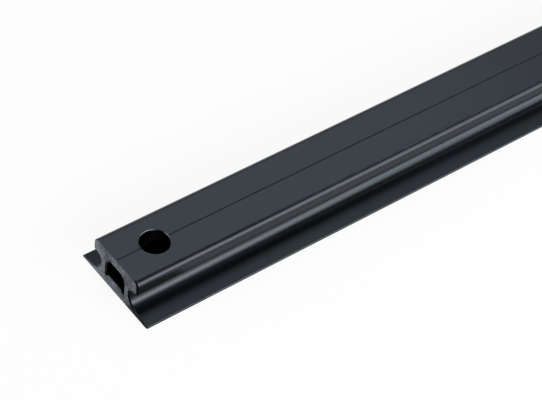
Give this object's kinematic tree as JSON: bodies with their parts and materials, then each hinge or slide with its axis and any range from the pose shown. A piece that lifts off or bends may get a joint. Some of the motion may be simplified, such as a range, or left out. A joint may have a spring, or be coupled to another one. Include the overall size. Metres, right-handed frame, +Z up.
{
  "type": "sail track section",
  "caption": "Black anodised traveller track: flat head over side races, a hollow neck and a wide thin base flange, with screw holes along the middle.",
  "frame": {"origin": "on the underside, at the middle of the track's length and width", "axes": "+X along the track, +Y across it, +Z up out of the flat top of the head"},
  "size_m": [1, 0.048, 0.0212],
  "materials": {
    "black_anodised_aluminium": "satin black anodised extrusion with sawn ends"
  },
  "bodies": {
    "root": {"track_rail": "black_anodised_aluminium"}
  },
  "joints": []
}
